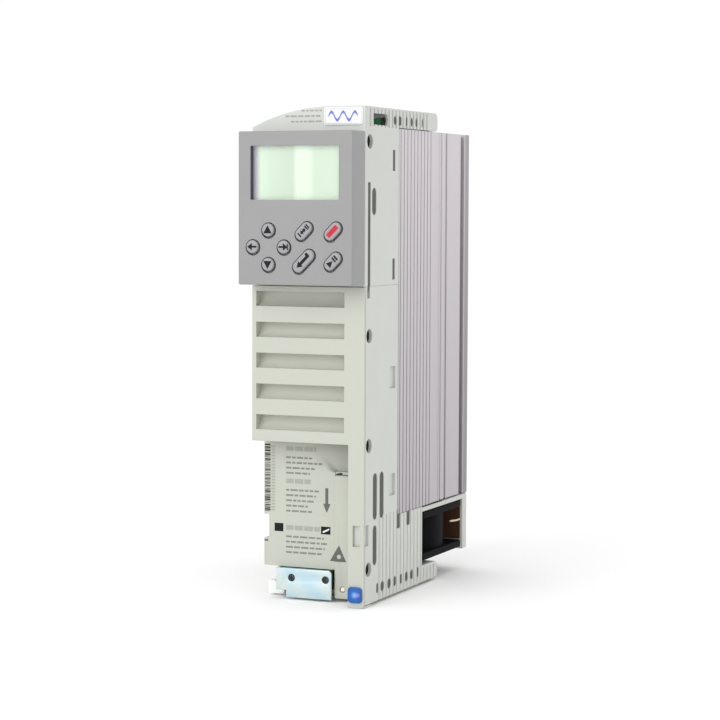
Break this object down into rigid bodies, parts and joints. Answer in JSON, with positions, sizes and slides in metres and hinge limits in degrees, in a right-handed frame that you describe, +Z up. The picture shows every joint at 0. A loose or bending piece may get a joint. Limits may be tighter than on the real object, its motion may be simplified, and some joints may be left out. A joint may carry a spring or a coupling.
{
  "type": "variable frequency drive",
  "caption": "Slim cabinet-mounted variable frequency drive with plug-on keypad, louvred cover, heatsink body and base fan.",
  "frame": {"origin": "bottom centre of the box around the whole drive, level with the underside of the column's foot", "axes": "+Z up along the height, -Y out of the keypad's front, +X to the right seen from the front"},
  "size_m": [0.06, 0.1556, 0.2417],
  "materials": {
    "housing_plastic": "fine matt texture, pale warm grey",
    "cover_plastic": "fine matt texture, pale warm grey",
    "white_plastic": "satin off-white",
    "label_film": "gloss film",
    "badge_resin": "clear domed resin over blue",
    "heatsink_aluminium": "extruded, natural",
    "zinc_plated_steel": "blue-passivated zinc",
    "screw_steel": "plain",
    "light_pipe_plastic": "clear, pale",
    "fan_plastic": "satin black",
    "lead_insulation": "smooth",
    "keypad_plastic": "fine matt texture, mid grey",
    "keypad_back_plastic": "matt",
    "key_plastic": "satin, light grey",
    "key_rubber": "matt silicone",
    "display_glass": "pale green reflective display",
    "lens_plastic": "clear acrylic",
    "connector_plastic": "black",
    "board_laminate": "green solder mask",
    "terminal_plastic": "green",
    "spacer_plastic": "natural nylon",
    "module_plastic": "black",
    "relay_plastic": "black",
    "pad_rubber": "soft grey silicone",
    "capacitor_sleeve": "shrink sleeve, dark blue",
    "choke_core": "coated core with enamelled copper winding"
  },
  "bodies": {
    "drive": {"upper_housing": "housing_plastic", "lower_housing": "housing_plastic", "front_cover": "cover_plastic", "name_plate": "label_film", "corner_badge": "badge_resin", "shield_plate": "zinc_plated_steel", "shield_screw_left": "screw_steel", "shield_screw_right": "screw_steel", "cable_clip": "white_plastic", "heatsink": "heatsink_aluminium", "keypad_socket": "connector_plastic", "control_board": "board_laminate", "power_board": "board_laminate", "spacer_1": "spacer_plastic", "spacer_2": "spacer_plastic", "spacer_3": "spacer_plastic", "spacer_4": "spacer_plastic", "board_screw_1": "screw_steel", "board_screw_2": "screw_steel", "board_screw_3": "screw_steel", "board_screw_4": "screw_steel", "control_terminals": "terminal_plastic", "mains_terminals": "terminal_plastic", "motor_terminals": "terminal_plastic", "thermal_pad": "pad_rubber", "power_module": "module_plastic", "dc_capacitor_1": "capacitor_sleeve", "dc_capacitor_2": "capacitor_sleeve", "dc_capacitor_3": "capacitor_sleeve", "emc_choke": "choke_core", "inrush_relay": "relay_plastic"},
    "keypad": {"keypad_case": "keypad_plastic", "keypad_back": "keypad_back_plastic", "keypad_board": "board_laminate", "display_module": "display_glass", "display_window": "lens_plastic", "key_mat": "key_rubber", "keypad_plug": "connector_plastic"},
    "terminal_panel": {"terminal_cover": "housing_plastic"},
    "module_lid": {"module_cover": "housing_plastic", "light_pipe": "light_pipe_plastic"},
    "fan_cassette": {"fan_frame": "fan_plastic", "fan_bracket": "white_plastic", "fan_lead": "lead_insulation"},
    "impeller": {"fan_rotor": "fan_plastic"},
    "key_up_cap": {"key_up": "key_plastic"},
    "key_left_cap": {"key_left": "key_plastic"},
    "key_right_cap": {"key_right": "key_plastic"},
    "key_down_cap": {"key_down": "key_plastic"},
    "key_menu_cap": {"key_menu": "key_plastic"},
    "key_stop_cap": {"key_stop": "key_plastic"},
    "key_enter_cap": {"key_enter": "key_plastic"},
    "key_run_cap": {"key_run": "key_plastic"}
  },
  "joints": [
    {"name": "keypad_pull", "type": "slide", "parent": "drive", "child": "keypad", "axis": [0, -1, 0], "range_m": [0, 0.025]},
    {"name": "terminal_panel_pull", "type": "slide", "parent": "drive", "child": "terminal_panel", "axis": [0, -1, 0], "range_m": [0, 0.02]},
    {"name": "module_lid_pull", "type": "slide", "parent": "drive", "child": "module_lid", "axis": [0, -1, 0], "range_m": [0, 0.02]},
    {"name": "fan_cassette_pull", "type": "slide", "parent": "drive", "child": "fan_cassette", "axis": [0, 1, 0], "range_m": [0, 0.03]},
    {"name": "fan_spin", "type": "hinge", "parent": "fan_cassette", "child": "impeller", "pos_m": [0, 0.04235, 0.0249], "axis": [0, 0, 1], "continuous": true},
    {"name": "key_up_press", "type": "slide", "parent": "keypad", "child": "key_up_cap", "axis": [0, 1, 0], "range_m": [0, 0.001], "stiffness_N_per_m": 1000, "springref_m": -0.0005},
    {"name": "key_left_press", "type": "slide", "parent": "keypad", "child": "key_left_cap", "axis": [0, 1, 0], "range_m": [0, 0.001], "stiffness_N_per_m": 1000, "springref_m": -0.0005},
    {"name": "key_right_press", "type": "slide", "parent": "keypad", "child": "key_right_cap", "axis": [0, 1, 0], "range_m": [0, 0.001], "stiffness_N_per_m": 1000, "springref_m": -0.0005},
    {"name": "key_down_press", "type": "slide", "parent": "keypad", "child": "key_down_cap", "axis": [0, 1, 0], "range_m": [0, 0.001], "stiffness_N_per_m": 1000, "springref_m": -0.0005},
    {"name": "key_menu_press", "type": "slide", "parent": "keypad", "child": "key_menu_cap", "axis": [0, 1, 0], "range_m": [0, 0.001], "stiffness_N_per_m": 1000, "springref_m": -0.0005},
    {"name": "key_stop_press", "type": "slide", "parent": "keypad", "child": "key_stop_cap", "axis": [0, 1, 0], "range_m": [0, 0.001], "stiffness_N_per_m": 1000, "springref_m": -0.0005},
    {"name": "key_enter_press", "type": "slide", "parent": "keypad", "child": "key_enter_cap", "axis": [0, 1, 0], "range_m": [0, 0.001], "stiffness_N_per_m": 1000, "springref_m": -0.0005},
    {"name": "key_run_press", "type": "slide", "parent": "keypad", "child": "key_run_cap", "axis": [0, 1, 0], "range_m": [0, 0.001], "stiffness_N_per_m": 1000, "springref_m": -0.0005}
  ]
}
